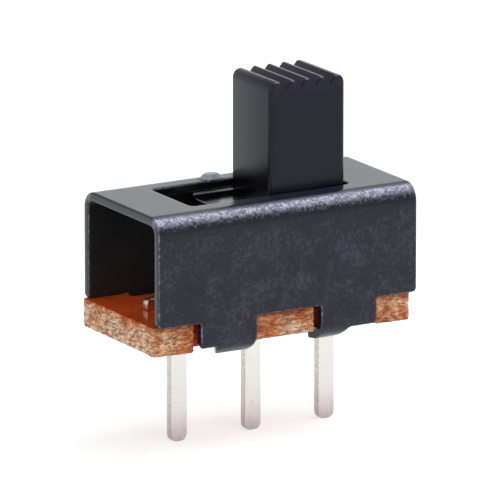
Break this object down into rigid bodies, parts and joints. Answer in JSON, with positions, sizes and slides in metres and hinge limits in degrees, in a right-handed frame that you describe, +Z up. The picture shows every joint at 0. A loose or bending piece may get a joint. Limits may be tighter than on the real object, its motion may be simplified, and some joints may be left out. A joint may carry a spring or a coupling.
{
  "type": "slide switch",
  "caption": "Miniature slide switch: ridged knob in a slotted folded-steel case, crimped over a phenolic board with a row of flat solder pins.",
  "frame": {"origin": "axis of the centre solder pin at the seating face, which is the underside of the case's turned-under tabs", "axes": "+X along the slider's travel, +Y across the case, +Z up out of the case towards the knob"},
  "size_m": [0.0128, 0.0064, 0.0155],
  "materials": {
    "case": "satin black paint",
    "board": "phenolic sheet, glossy faces and rough punched edges",
    "terminal": "tin-plated",
    "slider": "satin moulded",
    "clip": "silver-plated spring strip",
    "ball": "polished steel",
    "spring": "drawn wire"
  },
  "bodies": {
    "base": {"case": "case", "terminal_board": "board", "terminal_left": "terminal", "terminal_centre": "terminal", "terminal_right": "terminal"},
    "slider": {"slider": "slider", "contact_clip": "clip", "detent_spring": "spring"},
    "ball": {"detent_ball": "ball"}
  },
  "joints": [
    {"name": "slider_slide", "type": "slide", "parent": "base", "child": "slider", "axis": [1, 0, 0], "range_m": [-0.0037, 0]},
    {"name": "ball_lift", "type": "slide", "parent": "slider", "child": "ball", "axis": [0, 0, 1], "range_m": [0, 0.00015], "stiffness_N_per_m": 300, "deforming": ["detent_spring"]}
  ]
}
